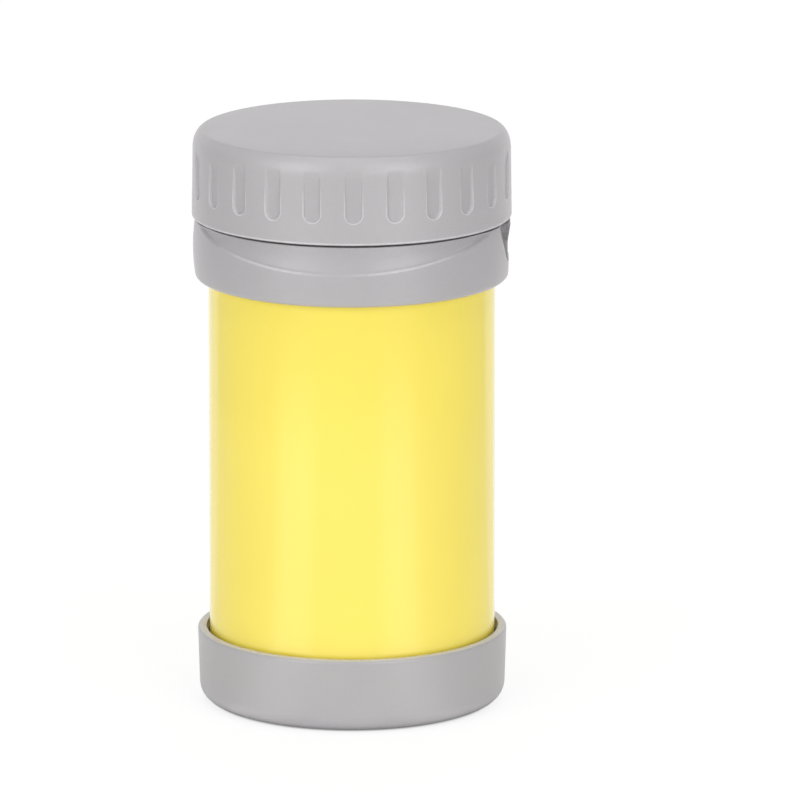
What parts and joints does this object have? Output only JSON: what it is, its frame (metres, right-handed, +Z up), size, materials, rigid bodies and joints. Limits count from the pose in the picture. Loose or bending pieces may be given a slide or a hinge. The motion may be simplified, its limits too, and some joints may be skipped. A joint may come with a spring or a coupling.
{
  "type": "insulated food jar",
  "caption": "Vacuum-insulated steel food jar with a fluted screw lid, a collar with a hinged strap loop, and a base cup.",
  "frame": {"origin": "centre of the jar's round footprint, on the surface that it stands on", "axes": "+Z up along the jar's axis; -Y is the front with the thumb scoop in the collar; the strap loop is at +X"},
  "size_m": [0.0912, 0.0912, 0.1672],
  "materials": {
    "yellow_lacquer": "gloss lacquer",
    "satin_steel": "satin",
    "plain_steel": "2B mill finish",
    "pin_steel": "drawn",
    "seal_glass": "fused bead",
    "copper_foil": "bright foil",
    "getter_metal": "sintered",
    "grey_cup": "fine spark texture",
    "grey_collar": "fine spark texture",
    "grey_lid": "fine spark texture",
    "loop_plastic": "fine spark texture",
    "inner_plastic": "semi-gloss",
    "clear_silicone": "translucent matt",
    "foot_rubber": "matt",
    "buffer_foam": "closed-cell foam",
    "white_foam": "moulded bead foam"
  },
  "bodies": {
    "jar": {"outer_shell": "yellow_lacquer", "inner_vessel": "satin_steel", "outer_bottom": "plain_steel", "vacuum_seal": "seal_glass", "seal_cover": "plain_steel", "heat_shield": "copper_foil", "getter": "getter_metal", "getter_clip": "plain_steel", "base_cup": "grey_cup", "foot_ring": "foot_rubber", "base_buffer": "buffer_foam", "collar": "grey_collar", "collar_gasket": "clear_silicone", "collar_lock_ring": "inner_plastic", "loop_pin": "pin_steel"},
    "seal": {"lid_seal": "clear_silicone"},
    "lid": {"lid_cap": "grey_lid", "lid_liner": "inner_plastic", "lid_foam": "white_foam"},
    "loop": {"strap_loop": "loop_plastic"}
  },
  "joints": [
    {"name": "lid_lift", "type": "slide", "parent": "jar", "child": "seal", "axis": [0, 0, 1], "range_m": [0, 0.0541]},
    {"name": "lid_turn", "type": "hinge", "parent": "seal", "child": "lid", "pos_m": [0, 0, 0.154], "axis": [0, 0, 1], "range_deg": [0, 1080]},
    {"name": "loop_hinge", "type": "hinge", "parent": "jar", "child": "loop", "pos_m": [0.0433, 0, 0.1378], "axis": [0, -1, 0], "range_deg": [0, 90]}
  ],
  "couplings": [
    {"joint": "lid_lift", "follows": "lid_turn", "m_per_rad": 0.0028648}
  ]
}
